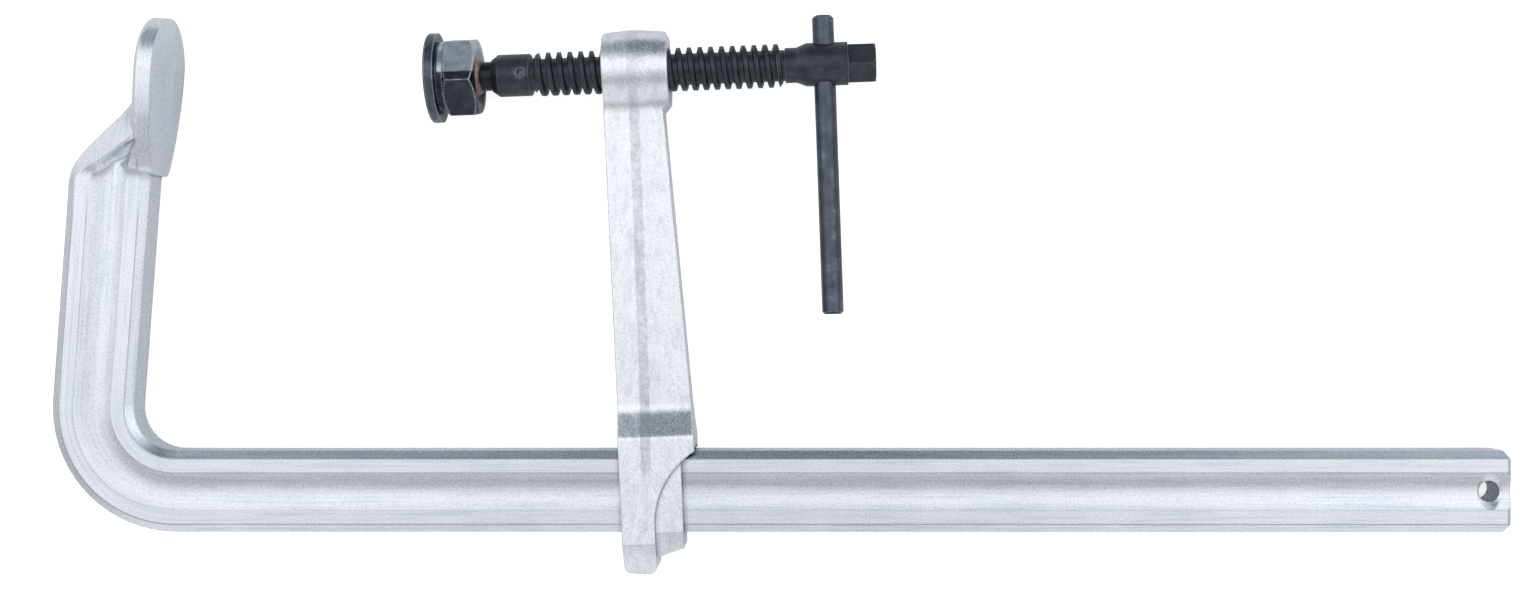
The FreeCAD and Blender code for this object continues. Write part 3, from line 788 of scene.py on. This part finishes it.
def set_screw():
    """The solid pin exchanged for a set screw with a bevelled rim and a hexagonal socket."""
    low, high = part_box("stud_pin")
    centre = (low + high) / 2
    radius = (high.x - low.x) / 2
    socket = SET_SCREW_ACROSS_FLATS / math.sqrt(3)
    mesh = bmesh.new()

    def circle(size, height):
        step = 2 * math.pi / SET_SCREW_SEGMENTS
        return [mesh.verts.new((centre.x + size * math.cos(index * step),
                                centre.y + size * math.sin(index * step), height))
                for index in range(SET_SCREW_SEGMENTS)]

    def hexagon(size, height):
        """Hexagon with as many vertices as the circle."""
        side = SET_SCREW_SEGMENTS // 6
        corners = [Vector((centre.x + size * math.cos(math.pi * corner / 3),
                           centre.y + size * math.sin(math.pi * corner / 3), height))
                   for corner in range(7)]
        return [mesh.verts.new(corners[index // side].lerp(corners[index // side + 1],
                                                           index % side / side))
                for index in range(SET_SCREW_SEGMENTS)]

    rings = [
        circle(radius, low.z),
        circle(radius, high.z - SET_SCREW_BEVEL),
        circle(radius - SET_SCREW_BEVEL_SLOPE * SET_SCREW_BEVEL, high.z),
        circle(socket + SET_SCREW_SOCKET_RIM, high.z),
        hexagon(socket, high.z - SET_SCREW_SOCKET_CHAMFER),
        hexagon(socket, high.z - SET_SCREW_SOCKET_DEPTH),
    ]
    for outer, inner in zip(rings, rings[1:]):
        for index in range(SET_SCREW_SEGMENTS):
            following = (index + 1) % SET_SCREW_SEGMENTS
            mesh.faces.new((outer[index], outer[following], inner[following], inner[index]))
    mesh.faces.new(rings[0][::-1])
    mesh.faces.new(rings[-1])
    bmesh.ops.recalc_face_normals(mesh, faces=mesh.faces)
    data = bpy.data.meshes.new("set_screw")
    mesh.to_mesh(data)
    mesh.free()
    piece = new_piece("set_screw", data)
    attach(piece, "stud")
    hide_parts("stud_pin")
    return piece


def assign(piece, material):
    piece.data.materials.clear()
    piece.data.materials.append(material)


def shade_by_angle(piece, limit=32.0):
    """Smooth shading with edges over the limit kept sharp."""
    for polygon in piece.data.polygons:
        polygon.use_smooth = True
    piece.data.set_sharp_from_angle(angle=math.radians(limit))


spindle = threaded_spindle()
shade_by_angle(spindle)
screw = set_screw()
shade_by_angle(screw)
arm = forged_arm()
rail = rail_and_jaw()

# Materials. Blackened steel: roughness, edge rounding, metal share and brightness
nodes = frame["nodes"]
assign(rail, zinc("rail_zinc", DRAWN_FINISH, RAIL_TONE))
assign(arm, zinc("arm_zinc", FORGED_FINISH, ARM_TONE))
assign(spindle, blackened_steel("spindle_black", 0.33, 0.15 * MM, 0.5, 1.1))
assign(screw, blackened_steel("pin_black", 0.26, 0.1 * MM, 0.9, 2.6))
assign(nodes["pressure_plate"], blackened_steel("plate_black", 0.28, 0.5 * MM, 0.9, 2.5))
assign(nodes["pad_nut"], nut_steel("nut_black"))
assign(nodes["tommy_bar"], blackened_steel("bar_black", 0.20, 0.3 * MM, 0.9, 2.3))
assign(nodes["ball_stud"], stud_steel("stud_steel"))
assign(nodes["rail_with_fixed_jaw"], rail.data.materials[0])
assign(nodes["sliding_arm"], arm.data.materials[0])
assign(nodes["stud_pin"], screw.data.materials[0])


# Stage

def resting_plane():
    """(a, b, c) of the floor z = a x + b y + c, which pad, arm's head and rail's end touch."""
    pad_low, pad_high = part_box("pressure_plate")
    arm_low, arm_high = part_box("sliding_arm")
    rail_low, rail_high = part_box("rail_with_fixed_jaw")
    first = Vector(((pad_low.x + pad_high.x) / 2, (pad_low.y + pad_high.y) / 2, pad_low.z))
    second = Vector(((arm_low.x + arm_high.x) / 2, arm_low.y + HEAD_DEEPEST,
                     -FLARE_HEAD_HALF_DEPTH))
    third = Vector((rail_high.x, rail_low.y + RAIL_HALF_HEIGHT, -RAIL_HALF_THICKNESS))
    normal = (second - first).cross(third - first).normalized()
    slope_x, slope_y = -normal.x / normal.z, -normal.y / normal.z
    return slope_x, slope_y, first.z - slope_x * first.x - slope_y * first.y


def floor():
    """White floor under the lying clamp."""
    slope_x, slope_y, level = resting_plane()
    half = FLOOR_SIZE / 2
    corners = [(-half, -half), (half, -half), (half, half), (-half, half)]
    places = [(x, y, slope_x * x + slope_y * y + level) for x, y in corners]
    data = bpy.data.meshes.new("floor")
    data.from_pydata(places, [], [(0, 1, 2, 3)])
    piece = new_piece("floor", data)
    material, tree, shader = new_material("floor_white")
    shader.inputs["Base Color"].default_value = (*FLOOR_COLOUR, 1.0)
    shader.inputs["Roughness"].default_value = FLOOR_ROUGHNESS
    shader.inputs["Specular IOR Level"].default_value = 0.0
    path = tree.nodes.new("ShaderNodeLightPath")
    seen = calculated(tree, "MULTIPLY", path.outputs["Is Camera Ray"], FLOOR_GLOW)
    shine = calculated(tree, "MULTIPLY", path.outputs["Is Glossy Ray"], FLOOR_GLOSSY_GLOW)
    shader.inputs["Emission Color"].default_value = (*WHITE, 1.0)
    tree.links.new(calculated(tree, "ADD", seen, shine), shader.inputs["Emission Strength"])
    assign(piece, material)


def background(tree, strength):
    node = tree.nodes.new("ShaderNodeBackground")
    node.inputs["Strength"].default_value = strength
    return node


def studio():
    """White surroundings, brighter over the clamp, with a dark band beyond it."""
    world = bpy.data.worlds.new("studio")
    bpy.context.scene.world = world
    world.use_nodes = True
    tree = world.node_tree
    tree.nodes.clear()
    place = tree.nodes.new("ShaderNodeTexCoord")
    split = tree.nodes.new("ShaderNodeSeparateXYZ")
    tree.links.new(place.outputs["Generated"], split.inputs[0])
    height = map_range(tree, split.outputs["Y"], -1.0, 1.0, 0.0, 1.0)
    across = map_range(tree, split.outputs["X"], -1.0, 1.0, 0.0, 1.0)

    halved = [(share, level / SKY_STRENGTH) for share, level in SKY_ROWS]
    rows = ramp(tree, height, [(share, (level, level, level * SKY_BLUE))
                               for share, level in halved])
    bright = multiplied(tree, rows, ramp(tree, across, greys(SKY_COLUMNS)))
    band = ramp(tree, across, [(share, tuple(level / SKY_STRENGTH * part for part in BAND_TINT))
                               for share, level in BAND_COLUMNS])
    beyond = map_range(tree, height, BAND_START, BAND_FULL, 0.0, 1.0)
    lit = background(tree, SKY_STRENGTH)
    tree.links.new(mixed(tree, beyond, bright, band), lit.inputs["Color"])

    white = background(tree, 1.0)
    white.inputs["Color"].default_value = (*WHITE, 1.0)
    path = tree.nodes.new("ShaderNodeLightPath")
    mix = tree.nodes.new("ShaderNodeMixShader")
    output = tree.nodes.new("ShaderNodeOutputWorld")
    tree.links.new(path.outputs["Is Camera Ray"], mix.inputs["Fac"])
    tree.links.new(lit.outputs[0], mix.inputs[1])
    tree.links.new(white.outputs[0], mix.inputs[2])
    tree.links.new(mix.outputs[0], output.inputs["Surface"])


def camera():
    data = bpy.data.cameras.new("camera")
    data.sensor_width = CAMERA_SENSOR_MM
    data.lens = CAMERA_LENS_MM
    data.shift_x, data.shift_y = CAMERA_SHIFT
    data.clip_start, data.clip_end = CAMERA_CLIP
    piece = new_piece("camera", data)
    piece.location = CAMERA_PLACE
    piece.rotation_euler = Euler([math.radians(angle) for angle in CAMERA_TURN], "XYZ")
    bpy.context.scene.camera = piece


floor()
studio()
camera()
bpy.context.scene.view_settings.view_transform = "Standard"
